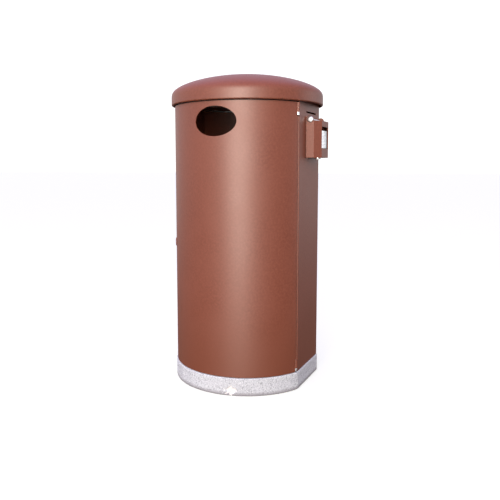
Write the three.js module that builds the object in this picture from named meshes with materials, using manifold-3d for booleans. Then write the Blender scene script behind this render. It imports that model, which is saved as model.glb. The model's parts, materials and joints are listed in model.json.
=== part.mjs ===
// Street litter bin with a side-mounted ash box, millimetres, +Z up.
// The origin is on the underside of the concrete slab, below the centre of the round lid.
// The curved door with the deposit opening faces -Y, and the ash box is on the flat +X side.
import * as THREE from "three";
import { mergeVertices } from "three/addons/utils/BufferGeometryUtils.js";
import Module from "manifold-3d";

const wasm = await Module();
wasm.setup();

// ---- driving dimensions ----
const FIT = 0.3; // gap between two pieces that touch
const SHEET = 2; // steel sheet of the door, the shell and the lid
const SLAB_TOP = 53.5; // height of the concrete slab
const SLAB_PROUD = 3.5; // slab outside the shell all round
const SHELL_BOTTOM = 55.5; // the shell and door start a shadow gap above the slab
const DOOR_TOP = 862;
const SHELL_TOP = 872; // the fixed shell reaches up behind the lid's rim
const DOOR_R = 229.5; // outer radius of the curved door and back, about the lid's axis
const HALF_WIDTH = 209; // the flat sides are at x = +-HALF_WIDTH
const CORNER_Y = -93; // front edge of the flat sides
const LIP = 18.5; // inward lip along the front edge of each flat side
const LID_R = 240;
const LID_RIM = 864; // underside of the lid's rim
const LID_CROWN = 960;
const LID_RISE = 42; // height of the lid's shallow crown
const LID_EDGE = 43; // height of the lid's rounded edge
const LID_POWER = 5.6; // squareness of the rounded edge
const RIM_CURL = 6.5; // the rim turns inward by this much
const OPENING_HALF_W = 66;
const OPENING_HALF_H = 43;
const OPENING_Z = 804.5;
const HINGE = { x: 206.5, y: -98.2, barrelR: 4.5, boreR: 2.9, pinR: 2.5 };
const LOCK = {
  angle: -55,
  z: 437,
  faceR: 13,
  face: 2.3, // the flange's outer face, out from the door
  sleeveR: 8,
  sleeveIn: 16,
  boreR: 6.3,
  plugR: 6,
  plugIn: 18.5,
  stemR: 3,
  keyR: 3.6, // socket for a triangular key
  keyDepth: 6,
  camLength: 44,
  camHub: 7,
  camThick: 3,
  camIn: 24.3,
  nutR: 6,
  nut: 3,
  holeR: 3.3, // the cam's and the nut's holes for the stem
};
const LINER = { y: 0, bottomR: 150, topR: 156, bottom: 57.2, top: 735, wall: 2 };
const HANDLE = { pivotX: 164, pivotZ: 700, halfW: 68, reach: 35, bend: 8, wireR: 3.5, lugY: 52 };
const ANCHOR = {
  places: [
    [150, -140],
    [-150, -140],
    [150, 140],
    [-150, 140],
  ],
  holeR: 5.6,
  slabHoleR: 6,
  shankR: 5,
  tip: 12,
  washerR: 10,
  washer: 2,
  headR: 8.5,
  head: 6.5,
};
const BASE = { sheet: 3, upstand: 24 };
const LIPS_START = 60; // the lips and flanges stop short of the base plate
const FRAME = { z: 866, thick: 3, inner: 30 };
const BAR = {
  z: FRAME.z + FRAME.thick + FIT,
  thick: 7,
  halfW: 15,
  halfL: 200,
  boltX: 190,
  boltR: 4,
  holeR: 4.4,
  headR: 7,
  head: 5,
  below: 6, // how far the bolts reach below the frame's underside
};
const STUD = { r: 6, holeR: 6.5, flangeR: 30, flange: 3, below: 16, nutR: 10.5, nut: 10, nutHole: 6.3 };
const STIFFENER = { width: 13.7, thick: 3 };
const ASH = {
  y0: -37, // near end of the box
  y1: 69, // far end
  bottom: 702,
  top: 812,
  side: 26, // depth of the square part of the ends
  depth: 45, // depth to the front face
  chamfer: 20, // length of the sloping corners along Y
  wall: 2,
  pivotOut: 14, // pivot pin, out from the flat side
  pivotZ: 816,
  earR: 10.5,
  boreR: 3.4,
  pinR: 3,
  lugR: 9,
  lug: 2.5, // thickness of the back plate's lugs
  lockOut: 22, // the lock's axis, out from the flat side
};
const ASH_MID = (ASH.y0 + ASH.y1) / 2;
const WINDOW = { halfW: 33, bottom: 730, top: 795 };
const STUB = { halfW: 35, bulgeR: 90, front: 45.5, sheet: 1.5, bottom: 731, top: 783 };
const SLIT = { y0: -32, y1: 64, z0: 836, z1: 841 };

// ---- finishes ----
const finish = (color, roughness, metalness) =>
  new THREE.MeshStandardMaterial({ color, roughness, metalness });
const paint = finish(0x80432f, 0.42, 0.0);
const concrete = finish(0xcfccc4, 0.9, 0.0);
const stainless = finish(0xcfd0d4, 0.3, 1.0);
const zinc = finish(0xc2c5c8, 0.4, 1.0);
const galvanised = finish(0xa9adb0, 0.5, 1.0);
const rubber = finish(0x1d1d1f, 0.8, 0.0);

// ---- solids ----
const rad = THREE.MathUtils.degToRad;

// A closed geometry as a solid that can be joined and cut.
function solid(geometry) {
  const bare = geometry.index ? geometry.toNonIndexed() : geometry.clone();
  bare.deleteAttribute("normal");
  bare.deleteAttribute("uv");
  const merged = mergeVertices(bare, 1e-4);
  return new wasm.Manifold(
    new wasm.Mesh({
      numProp: 3,
      vertProperties: merged.attributes.position.array,
      triVerts: new Uint32Array(merged.index.array),
    }),
  );
}

const join = (first, ...rest) => rest.reduce((a, b) => a.add(b), first);
const cut = (first, ...rest) => rest.reduce((a, b) => a.subtract(b), first);

// The named mesh of a solid in a finish.
function piece(name, body, material) {
  const made = body.getMesh();
  const geometry = new THREE.BufferGeometry();
  geometry.setAttribute("position", new THREE.BufferAttribute(made.vertProperties, 3));
  geometry.setIndex(new THREE.BufferAttribute(made.triVerts, 1));
  geometry.computeVertexNormals();
  const mesh = new THREE.Mesh(geometry, material);
  mesh.name = name;
  return mesh;
}

// A box between two corners, with y0 and y1 in either order.
function block(x0, x1, y0, y1, z0, z1) {
  const box = new THREE.BoxGeometry(x1 - x0, Math.abs(y1 - y0), z1 - z0);
  return solid(box.translate((x0 + x1) / 2, (y0 + y1) / 2, (z0 + z1) / 2));
}

// An upright prism of an outline given as [x, y] points.
function prism(points, z0, z1) {
  const shape = new THREE.Shape(points.map(([x, y]) => new THREE.Vector2(x, y)));
  const made = new THREE.ExtrudeGeometry(shape, { depth: z1 - z0, bevelEnabled: false });
  return solid(made.translate(0, 0, z0));
}

// An upright cylinder.
function post(x, y, r, z0, z1, sides = 20) {
  const made = new THREE.CylinderGeometry(r, r, z1 - z0, sides).rotateX(Math.PI / 2);
  return solid(made.translate(x, y, (z0 + z1) / 2));
}

// A cylinder along Y.
function rodY(x, z, r, y0, y1, sides = 24) {
  const made = new THREE.CylinderGeometry(r, r, y1 - y0, sides);
  return solid(made.translate(x, (y0 + y1) / 2, z));
}

// A cylinder along X.
function rodX(y, z, r, x0, x1, sides = 12) {
  const made = new THREE.CylinderGeometry(r, r, x1 - x0, sides).rotateZ(Math.PI / 2);
  return solid(made.translate((x0 + x1) / 2, y, z));
}

// A body of revolution about a vertical axis through (x, y), from [radius, z] points.
function turned(points, x = 0, y = 0, sides = 44) {
  const profile = points.map(([r, z]) => new THREE.Vector2(r, z));
  const made = new THREE.LatheGeometry(profile, sides).rotateX(Math.PI / 2);
  return solid(made.translate(x, y, 0));
}

// Points on an arc about (x, y), angles in degrees from -Y towards +X.
function arc(x, y, r, from, to, steps) {
  return Array.from({ length: steps + 1 }, (_, i) => {
    const angle = rad(from + ((to - from) * i) / steps);
    return [x + r * Math.sin(angle), y - r * Math.cos(angle)];
  });
}

// Half angle of the arc that a flat side leaves of a circle.
const arcHalf = (flat, r) => THREE.MathUtils.radToDeg(Math.asin(flat / r));

// The bin's outline in plan, moved inward by inset: a circle with two flat sides.
function outline(inset, frontInset = inset) {
  const flat = HALF_WIDTH - inset;
  const [front, back] = [DOOR_R - frontInset, DOOR_R - inset];
  const [a, b] = [arcHalf(flat, front), arcHalf(flat, back)];
  return [...arc(0, 0, front, -a, a, 32), ...arc(0, 0, back, 180 - b, 180 + b, 32)];
}

// ---- slab and base ----
function concreteSlab() {
  const edge = 3;
  const lower = prism(outline(-SLAB_PROUD), 0, SLAB_TOP - edge);
  const upper = prism(outline(-SLAB_PROUD + edge / 2), SLAB_TOP - edge - 1, SLAB_TOP);
  const depth = ANCHOR.tip - 2;
  const holes = ANCHOR.places.map(([x, y]) => post(x, y, ANCHOR.slabHoleR, depth, SLAB_TOP + 1, 16));
  return piece("concrete_slab", cut(join(lower, upper), ...holes), concrete);
}

function basePlate() {
  const z0 = SLAB_TOP + FIT;
  const z1 = z0 + BASE.sheet;
  const top = z1 + BASE.upstand;
  const plate = prism(outline(2.5, 7), z0, z1);
  const upstand = cut(
    prism(outline(2.5, 7), z0, top),
    prism(outline(4.5, 9), z1 - 1, top + 1),
    block(-250, 250, -250, CORNER_Y + 8, z1, top + 1),
  );
  const holes = ANCHOR.places.map(([x, y]) => post(x, y, ANCHOR.holeR, z0 - 1, z1 + 1, 16));
  return piece("base_plate", cut(join(plate, upstand), ...holes), galvanised);
}

function anchor([x, y], i) {
  const plateTop = SLAB_TOP + FIT + BASE.sheet;
  const washerTop = plateTop + FIT + ANCHOR.washer;
  const washer = cut(
    post(x, y, ANCHOR.washerR, plateTop + FIT, washerTop),
    post(x, y, ANCHOR.holeR, plateTop, washerTop + 1),
  );
  const seat = washerTop + FIT;
  const head = post(x, y, ANCHOR.headR, seat, seat + ANCHOR.head, 6);
  const shank = post(x, y, ANCHOR.shankR, ANCHOR.tip, seat + 1, 16);
  return [
    piece(`anchor_washer_${i + 1}`, washer, zinc),
    piece(`anchor_bolt_${i + 1}`, join(head, shank), zinc),
  ];
}

// ---- fixed shell ----
function rearShell() {
  const back = (inset) => {
    const half = arcHalf(HALF_WIDTH - inset, DOOR_R - inset);
    return arc(0, 0, DOOR_R - inset, 180 - half, 180 + half, 40);
  };
  const inner = HALF_WIDTH - SHEET;
  const lipX = HALF_WIDTH - LIP;
  const points = [
    [lipX, CORNER_Y],
    [HALF_WIDTH, CORNER_Y],
    ...back(0),
    [-HALF_WIDTH, CORNER_Y],
    [-lipX, CORNER_Y],
    [-lipX, CORNER_Y + SHEET],
    [-inner, CORNER_Y + SHEET],
    ...back(SHEET).reverse(),
    [inner, CORNER_Y + SHEET],
    [lipX, CORNER_Y + SHEET],
  ];
  const sheet = prism(points, SHELL_BOTTOM, SHELL_TOP);
  const slit = block(inner - 1, HALF_WIDTH + 1, SLIT.y0, SLIT.y1, SLIT.z0, SLIT.z1);
  const screwHoles = ashScrewPlaces().map(([y, z]) =>
    rodX(y, z, SCREW.holeR, inner - 1, HALF_WIDTH + 1),
  );
  const overBase = block(-inner, inner, CORNER_Y - 1, CORNER_Y + 3, SHELL_BOTTOM - 1, LIPS_START);
  const underFrame = block(-inner, inner, CORNER_Y - 1, CORNER_Y + 3, DOOR_TOP, SHELL_TOP + 1);
  const body = cut(sheet, slit, overBase, underFrame, ...screwHoles);
  return piece("rear_shell", body, paint);
}

function topFrame() {
  const top = FRAME.z + FRAME.thick;
  const ring = cut(
    prism(outline(2.4, 7), FRAME.z, top),
    prism(outline(FRAME.inner, FRAME.inner + 4), FRAME.z - 1, top + 1),
  );
  const holes = [-BAR.boltX, BAR.boltX].map((x) => post(x, 0, BAR.holeR, FRAME.z - 1, top + 1, 16));
  return piece("top_frame", cut(ring, ...holes), galvanised);
}

function crossBar() {
  const top = BAR.z + BAR.thick;
  const bar = block(-BAR.halfL, BAR.halfL, -BAR.halfW, BAR.halfW, BAR.z, top);
  const holes = [-BAR.boltX, BAR.boltX].map((x) => post(x, 0, BAR.holeR, BAR.z - 1, top + 1, 16));
  const studHole = post(0, 0, STUD.holeR, BAR.z - 1, top + 1);
  return piece("lid_crossbar", cut(bar, studHole, ...holes), zinc);
}

function crossBarBolt(side) {
  const x = side * BAR.boltX;
  const headZ = BAR.z + BAR.thick + FIT;
  const head = post(x, 0, BAR.headR, headZ, headZ + BAR.head, 6);
  const shank = post(x, 0, BAR.boltR, FRAME.z - BAR.below, headZ + 1, 16);
  return piece(side > 0 ? "crossbar_bolt_right" : "crossbar_bolt_left", join(head, shank), zinc);
}

// ---- lid ----
// Height of the lid's outer face at a radius: a shallow parabola with a rounded edge.
function lidHeight(r) {
  const u = Math.min(r / LID_R, 1);
  const edge = 1 - Math.pow(1 - Math.pow(u, LID_POWER), 1 / LID_POWER);
  return LID_CROWN - LID_RISE * u * u - LID_EDGE * edge;
}

function lidDome() {
  const steps = 9;
  const radius = (i, r) => r * Math.sin((i / steps) * (Math.PI / 2));
  const outer = Array.from({ length: steps }, (_, i) => {
    const r = radius(i, LID_R);
    return [r, lidHeight(r)];
  });
  const innerR = LID_R - SHEET;
  const inner = Array.from({ length: steps }, (_, i) => {
    const r = radius(i, innerR);
    return [r, lidHeight((r * LID_R) / innerR) - SHEET];
  });
  const straight = LID_CROWN - LID_RISE - LID_EDGE;
  const curl = 4;
  const rimOut = [
    [LID_R, straight],
    ...arc(LID_R - curl, LID_RIM + curl, curl, 90, 0, 4),
    [LID_R - RIM_CURL, LID_RIM],
    [LID_R - RIM_CURL, LID_RIM + SHEET],
    [innerR - 2, LID_RIM + SHEET],
    [innerR, LID_RIM + curl],
    [innerR, straight - SHEET],
  ];
  const profile = [...inner, ...rimOut.slice().reverse(), ...outer.slice().reverse()];
  return piece("lid_dome", turned(profile), paint);
}

function lidStud() {
  const top = lidHeight(STUD.flangeR) - SHEET - FIT;
  const flange = post(0, 0, STUD.flangeR, top - STUD.flange, top, 32);
  const rod = post(0, 0, STUD.r, BAR.z - STUD.below, top - 1);
  return piece("lid_stud", join(flange, rod), zinc);
}

function lidNut() {
  const top = BAR.z - FIT;
  const low = top - STUD.nut;
  const nut = cut(post(0, 0, STUD.nutR, low, top, 6), post(0, 0, STUD.nutHole, low - 1, top + 1));
  return piece("lid_stud_nut", nut, zinc);
}

// ---- door ----
const DOOR_EDGE = 65.2; // half angle of the door
const DOOR_FLANGE = { y: -95.9, inner: 192 };
const DOOR_INNER = DOOR_R - SHEET;
const TOP_HINGE = { low: 824, split: 847, high: 861, doorLow: 833 };
const BOTTOM_HINGE = { low: 59, bodyLow: 67, split: 80, high: 93 };

function doorPanel() {
  const flangeIn = DOOR_FLANGE.y - SHEET;
  const innerHalf = THREE.MathUtils.radToDeg(Math.acos(-flangeIn / DOOR_INNER));
  const points = [
    ...arc(0, 0, DOOR_R, -DOOR_EDGE, DOOR_EDGE, 44),
    [DOOR_FLANGE.inner, DOOR_FLANGE.y],
    [DOOR_FLANGE.inner, flangeIn],
    ...arc(0, 0, DOOR_INNER, innerHalf, -innerHalf, 44),
    [-DOOR_FLANGE.inner, flangeIn],
    [-DOOR_FLANGE.inner, DOOR_FLANGE.y],
  ];
  const sheet = prism(points, SHELL_BOTTOM, DOOR_TOP);
  const oval = new THREE.CylinderGeometry(1, 1, 120, 48).scale(OPENING_HALF_W, 1, OPENING_HALF_H);
  const opening = solid(oval.translate(0, -DOOR_R + 20, OPENING_Z));
  const notches = [
    post(HINGE.x, HINGE.y, HINGE.barrelR + 1, TOP_HINGE.low - 2, DOOR_TOP + 1),
    post(HINGE.x, HINGE.y, HINGE.barrelR + 1, SHELL_BOTTOM - 1, BOTTOM_HINGE.high + 1),
  ];
  const keyHole = lockRod(LOCK.sleeveR + FIT, DOOR_INNER - 5, DOOR_R + 5);
  const overBase = [-204, 190].map((x) =>
    block(x, x + 14, flangeIn - 1, DOOR_FLANGE.y + 1, SHELL_BOTTOM - 1, LIPS_START),
  );
  return piece("door_panel", cut(sheet, opening, keyHole, ...notches, ...overBase), paint);
}

// A flat curved bar welded inside the door.
function doorStiffener(name, z, from = -60, to = 60) {
  const bar = prism(
    [
      ...arc(0, 0, DOOR_INNER - FIT, from, to, 36),
      ...arc(0, 0, DOOR_INNER - FIT - STIFFENER.width, to, from, 36),
    ],
    z,
    z + STIFFENER.thick,
  );
  return piece(name, bar, paint);
}

// A hinge barrel with a bore for its pin.
function barrel(z0, z1) {
  return cut(
    post(HINGE.x, HINGE.y, HINGE.barrelR, z0, z1),
    post(HINGE.x, HINGE.y, HINGE.boreR, z0 - 1, z1 + 1),
  );
}

function bodyHingeLeaf(name, z0, z1) {
  const leafX = HALF_WIDTH - LIP + 1;
  const leaf = cut(
    block(leafX, HINGE.x, CORNER_Y - FIT - SHEET, CORNER_Y - FIT, z0, z1),
    post(HINGE.x, HINGE.y, HINGE.boreR, z0 - 1, z1 + 1),
  );
  return piece(name, join(barrel(z0, z1), leaf), paint);
}

function doorHingeLeaf(name, z0, z1) {
  const outer = DOOR_INNER - FIT;
  const leaf = cut(
    prism([...arc(0, 0, outer, 54, 64, 6), ...arc(0, 0, outer - SHEET, 64, 54, 6)], z0, z1),
    post(HINGE.x, HINGE.y, HINGE.boreR, z0 - 1, z1 + 1),
  );
  return piece(name, join(barrel(z0, z1), leaf), paint);
}

function hingePin(name, headZ, shaftZ, top) {
  const head = cut(
    post(HINGE.x, HINGE.y, HINGE.barrelR, headZ, shaftZ - FIT),
    post(HINGE.x, HINGE.y, 1.8, headZ - 1, headZ + 3, 6),
  );
  return piece(name, join(head, post(HINGE.x, HINGE.y, HINGE.pinR, shaftZ - 2, top)), stainless);
}

// A cylinder through the door on the lock's axis, between two radii.
function lockRod(r, from, to, sides = 24) {
  const made = new THREE.CylinderGeometry(r, r, to - from, sides);
  made.translate(0, -(from + to) / 2, 0).rotateZ(rad(LOCK.angle));
  return solid(made.translate(0, 0, LOCK.z));
}

function lockHousing() {
  const flange = lockRod(LOCK.faceR, DOOR_R + FIT, DOOR_R + LOCK.face, 32);
  const sleeve = lockRod(LOCK.sleeveR, DOOR_INNER - LOCK.sleeveIn, DOOR_R + 1);
  const bore = lockRod(LOCK.boreR, DOOR_INNER - LOCK.sleeveIn - 4, DOOR_R + 5);
  return piece("lock_housing", cut(join(flange, sleeve), bore), paint);
}

function lockPlug() {
  const plugEnd = DOOR_INNER - LOCK.plugIn;
  const plug = lockRod(LOCK.plugR, plugEnd, DOOR_R + LOCK.face - 0.5);
  const stem = lockRod(LOCK.stemR, DOOR_INNER - LOCK.camIn - 3.2, plugEnd + 1, 16);
  const key = lockRod(LOCK.keyR, DOOR_R - LOCK.keyDepth, DOOR_R + 4, 3);
  return piece("lock_plug", cut(join(plug, stem), key), stainless);
}

function lockCam() {
  const { camLength, camHub, camThick, camIn } = LOCK;
  const near = DOOR_INNER - camIn;
  const cam = new THREE.BoxGeometry(2 * camHub, camThick, camLength + camHub);
  cam.translate(0, -(near + camThick / 2), -(camLength - camHub) / 2).rotateZ(rad(LOCK.angle));
  const body = solid(cam.translate(0, 0, LOCK.z));
  return piece("lock_cam", cut(body, lockRod(LOCK.holeR, near - 5, near + 5, 16)), zinc);
}

function lockNut() {
  const face = DOOR_INNER - LOCK.camIn - FIT;
  const nut = lockRod(LOCK.nutR, face - LOCK.nut, face, 6);
  const hole = lockRod(LOCK.holeR, face - LOCK.nut - 2, face + 2, 16);
  return piece("lock_cam_nut", cut(nut, hole), zinc);
}

function doorBumper(name, z) {
  const x = -(HALF_WIDTH - 9);
  const y0 = DOOR_FLANGE.y + FIT;
  return piece(name, block(x - 5, x + 5, y0, CORNER_Y - FIT, z - 9, z + 9), rubber);
}

// ---- inner liner ----
function linerBucket() {
  const { y, bottomR, topR, bottom, top, wall } = LINER;
  const outside = turned([[0, bottom], [bottomR, bottom], [topR, top], [0, top]], 0, y);
  const inside = turned(
    [[0, bottom + wall], [bottomR - wall, bottom + wall], [topR - wall, top + 6], [0, top + 6]],
    0,
    y,
  );
  const rolled = turned(arc(topR, top, 4, 0, 360, 8), 0, y);
  const lugs = [-1, 1].flatMap((side) =>
    [-1, 1].map((end) => {
      const [a, b] = [side * 138, side * (HANDLE.pivotX + 7)].sort((p, q) => p - q);
      const at = y + end * HANDLE.lugY;
      return cut(
        block(a, b, at - 2, at + 2, HANDLE.pivotZ - 9, HANDLE.pivotZ + 8),
        rodY(side * HANDLE.pivotX, HANDLE.pivotZ, HANDLE.wireR + 0.6, at - 3, at + 3),
      );
    }),
  );
  const hollow = cut(join(outside, rolled, ...lugs), inside);
  return piece("liner_bucket", hollow, galvanised);
}

// A bent wire handle that hangs from its two lugs: a rectangle with rounded corners.
function linerHandle(side) {
  const { pivotX, pivotZ, halfW, reach, bend, wireR, lugY } = HANDLE;
  const at = (y, z) => new THREE.Vector3(side * pivotX, LINER.y + y, pivotZ + z);
  const path = new THREE.CurvePath();
  let last = at(-lugY + 7, 0);
  // A straight run to just before a corner, then the bend round it towards (toY, toZ).
  const turn = (y, z, fromY, fromZ, toY, toZ) => {
    const start = at(y - bend * fromY, z - bend * fromZ);
    const end = at(y + bend * toY, z + bend * toZ);
    path.add(new THREE.LineCurve3(last, start));
    path.add(new THREE.QuadraticBezierCurve3(start, at(y, z), end));
    last = end;
  };
  turn(-halfW, 0, -1, 0, 0, -1);
  turn(-halfW, -reach, 0, -1, 1, 0);
  turn(halfW, -reach, 1, 0, 0, 1);
  turn(halfW, 0, 0, 1, -1, 0);
  path.add(new THREE.LineCurve3(last, at(lugY - 7, 0)));
  const section = new THREE.Shape();
  section.absarc(0, 0, wireR, 0, 2 * Math.PI);
  const wire = new THREE.ExtrudeGeometry(section, {
    steps: 30,
    curveSegments: 4,
    extrudePath: path,
    bevelEnabled: false,
  });
  return piece(side > 0 ? "liner_handle_right" : "liner_handle_left", solid(wire), zinc);
}

// ---- ash box on the flat side ----
const SCREW = { r: 2.5, holeR: 2.9, headR: 4.5, tip: -9, seat: 2.6, head: 4.8 };

function ashScrewPlaces() {
  return [
    [ASH_MID - 34, 740],
    [ASH_MID + 34, 740],
    [ASH_MID - 34, 792],
    [ASH_MID + 34, 792],
  ];
}

const out = (w) => HALF_WIDTH + w; // a distance out from the flat side, as x

function ashBackPlate() {
  const face = FIT + SHEET;
  const y0 = ASH.y0 + 3;
  const y1 = ASH.y1 - 3;
  const plate = block(out(FIT), out(face), y0, y1, ASH.bottom + 4, ASH.pivotZ + ASH.lugR);
  const { pivotOut, pivotZ, lugR, lug } = ASH;
  const lugs = [y0 - 0.2, y1 + 0.2 - lug].map((y) =>
    join(
      rodY(out(pivotOut), pivotZ, lugR, y, y + lug),
      block(out(FIT), out(pivotOut), y, y + lug, pivotZ - lugR, pivotZ + lugR),
    ),
  );
  const bore = rodY(out(pivotOut), pivotZ, ASH.boreR, y0 - 5, y1 + 5);
  const catchArm = join(
    block(out(1), out(29), ASH_MID + 18, ASH_MID + 20, 709, 721),
    block(out(27), out(29), ASH_MID + 8, ASH_MID + 19, 709, 721),
  );
  const holes = ashScrewPlaces().map(([y, z]) => rodX(y, z, SCREW.holeR, out(0), out(face + 1)));
  return piece("ash_back_plate", cut(join(plate, ...lugs, catchArm), bore, ...holes), paint);
}

// The plan of the ash box, moved inward by inset and open towards the bin.
function ashPlan(inset, back) {
  const slope = inset * 0.41; // how far an inset moves the ends of a sloping corner
  return [
    [out(back), ASH.y0 + inset],
    [out(ASH.side - slope), ASH.y0 + inset],
    [out(ASH.depth - inset), ASH.y0 + ASH.chamfer + slope],
    [out(ASH.depth - inset), ASH.y1 - ASH.chamfer - slope],
    [out(ASH.side - slope), ASH.y1 - inset],
    [out(back), ASH.y1 - inset],
  ];
}

function ashHousing() {
  const { y0, y1, bottom, top, wall, pivotOut, pivotZ, earR } = ASH;
  const back = 2.8; // clear of the back plate
  const notchOut = pivotOut + 11.5; // past the lugs' rounded ends
  const shell = prism(ashPlan(0, back), bottom, top);
  const hollow = prism(ashPlan(wall, back - 2), bottom + wall, top - wall);
  const ears = [y0, y1 - wall].map((y) => rodY(out(pivotOut), pivotZ, earR, y, y + wall, 32));
  const bore = rodY(out(pivotOut), pivotZ, ASH.boreR, y0 - 1, y1 + 1);
  const roofNotches = [y0 + wall, y1 - wall - 3.5].map((y) =>
    block(out(back - 1), out(notchOut), y, y + 3.5, top - wall - 1, top + 1),
  );
  const window = block(
    out(ASH.depth - wall - 3),
    out(ASH.depth + 2),
    ASH_MID - WINDOW.halfW,
    ASH_MID + WINDOW.halfW,
    WINDOW.bottom,
    WINDOW.top,
  );
  const keyHole = post(out(ASH.lockOut), ASH_MID, 7.4, bottom - 1, bottom + wall + 1);
  const body = cut(cut(shell, hollow).add(join(...ears)), bore, window, keyHole, ...roofNotches);
  return piece("ash_housing", body, paint);
}

function stubPlate() {
  const centre = STUB.front - STUB.bulgeR;
  const half = THREE.MathUtils.radToDeg(Math.asin(STUB.halfW / STUB.bulgeR));
  const bow = (r, from, to) =>
    arc(0, 0, r, from, to, 14).map(([x, y]) => [out(centre) - y, ASH_MID + x]);
  const sheet = prism(
    [...bow(STUB.bulgeR, -half, half), ...bow(STUB.bulgeR - STUB.sheet, half, -half)].reverse(),
    STUB.bottom,
    STUB.top,
  );
  return piece("ash_stub_plate", sheet, stainless);
}

function ashTray() {
  const [x0, x1] = [out(6.5), out(34.5)];
  const [y0, y1] = [ASH_MID - 32, ASH_MID + 32];
  const tray = cut(
    block(x0, x1, y0, y1, 726, 772),
    block(x0 + 1.5, x1 - 1.5, y0 + 1.5, y1 - 1.5, 727.5, 780),
  );
  return piece("ash_tray", tray, galvanised);
}

function ashPivotPin() {
  const { y0, y1, pivotOut, pivotZ } = ASH;
  const x = out(pivotOut);
  const [r, flattening, reach] = [10.4, 0.4, 12];
  // A flattened ball, cut flat on the side that faces the cheek.
  const dome = (y, boxSide) => {
    const ball = new THREE.SphereGeometry(r, 20, 10).scale(1, flattening, 1);
    const [x0, x1, z0, z1] = [x - reach, x + reach, pivotZ - reach, pivotZ + reach];
    return cut(solid(ball.translate(x, y, pivotZ)), block(x0, x1, y, y + boxSide * reach, z0, z1));
  };
  const shaft = rodY(x, pivotZ, ASH.pinR, y0 - 2, y1 + 2);
  return piece("ash_pivot_pin", join(shaft, dome(y0 - FIT, 1), dome(y1 + FIT, -1)), stainless);
}

function ashScrew([y, z], i) {
  const head = rodX(y, z, SCREW.headR, out(SCREW.seat), out(SCREW.head), 20);
  const shank = rodX(y, z, SCREW.r, out(SCREW.tip), out(SCREW.seat + 0.4));
  return piece(`ash_mount_screw_${i + 1}`, join(head, shank), zinc);
}

function ashLockHousing() {
  const x = out(ASH.lockOut);
  const flange = post(x, ASH_MID, 10, ASH.bottom - 3.3, ASH.bottom - FIT);
  const sleeve = post(x, ASH_MID, 7, ASH.bottom - 1, ASH.bottom + 9);
  const bore = post(x, ASH_MID, 5.3, ASH.bottom - 5, ASH.bottom + 12);
  return piece("ash_lock_housing", cut(join(flange, sleeve), bore), stainless);
}

function ashLockPlug() {
  const x = out(ASH.lockOut);
  const key = post(x, ASH_MID, 3.2, ASH.bottom - 5, ASH.bottom + 2, 3);
  const plug = cut(post(x, ASH_MID, 5, ASH.bottom - 3, ASH.bottom + 9.3), key);
  return piece("ash_lock_plug", join(plug, post(x, ASH_MID, 2.5, 710, 715.5, 16)), stainless);
}

function ashLockCam() {
  const x = out(ASH.lockOut);
  const z = ASH.bottom + 9.6;
  const arm = block(x - 15, x, ASH_MID - 4, ASH_MID + 4, z, z + 2.5);
  const cam = join(arm, post(x, ASH_MID, 6, z, z + 2.5));
  return piece("ash_lock_cam", cut(cam, post(x, ASH_MID, 2.8, z - 1, z + 4, 16)), zinc);
}

// ---- assembly ----
const bin = new THREE.Group();
bin.add(
  concreteSlab(),
  basePlate(),
  ...ANCHOR.places.flatMap(anchor),
  rearShell(),
  topFrame(),
  crossBar(),
  crossBarBolt(-1),
  crossBarBolt(1),
  lidDome(),
  lidStud(),
  lidNut(),
  linerBucket(),
  linerHandle(-1),
  linerHandle(1),
);

const door = new THREE.Group();
door.add(
  doorPanel(),
  doorStiffener("door_stiffener_top", 853),
  doorStiffener("door_stiffener_middle", 600, -48),
  doorStiffener("door_stiffener_bottom", 100),
  doorHingeLeaf("hinge_door_leaf_top", TOP_HINGE.doorLow, TOP_HINGE.split),
  doorHingeLeaf("hinge_door_leaf_bottom", BOTTOM_HINGE.split + FIT, BOTTOM_HINGE.high),
  lockHousing(),
  lockPlug(),
  lockCam(),
  lockNut(),
);
bin.add(
  door,
  bodyHingeLeaf("hinge_body_leaf_top", TOP_HINGE.split + FIT, TOP_HINGE.high),
  bodyHingeLeaf("hinge_body_leaf_bottom", BOTTOM_HINGE.bodyLow, BOTTOM_HINGE.split),
  hingePin("hinge_pin_top", TOP_HINGE.low, TOP_HINGE.doorLow, TOP_HINGE.high - 1),
  hingePin("hinge_pin_bottom", BOTTOM_HINGE.low, BOTTOM_HINGE.bodyLow, BOTTOM_HINGE.high - 1),
  doorBumper("door_bumper_top", 780),
  doorBumper("door_bumper_bottom", 130),
);

const ashBox = new THREE.Group();
ashBox.add(ashHousing(), stubPlate(), ashTray(), ashLockHousing(), ashLockPlug(), ashLockCam());
bin.add(ashBackPlate(), ashPivotPin(), ...ashScrewPlaces().map(ashScrew), ashBox);

export default bin;
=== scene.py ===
# %% [markdown]
# # A street litter bin with an ash box
#
# The real bin is a folded and rolled steel shell on a cast concrete slab. A domed steel lid is
# screwed down on it, a curved door with an oval mouth hangs on two pin hinges, and a small
# steel box for cigarette ends tips forward on one flat side.
#
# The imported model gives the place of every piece. It is loaded first, and each finer piece
# made below stands in for one of its nodes, at the same place and size.

# %% Load the fixed frame
import json
import math

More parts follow.
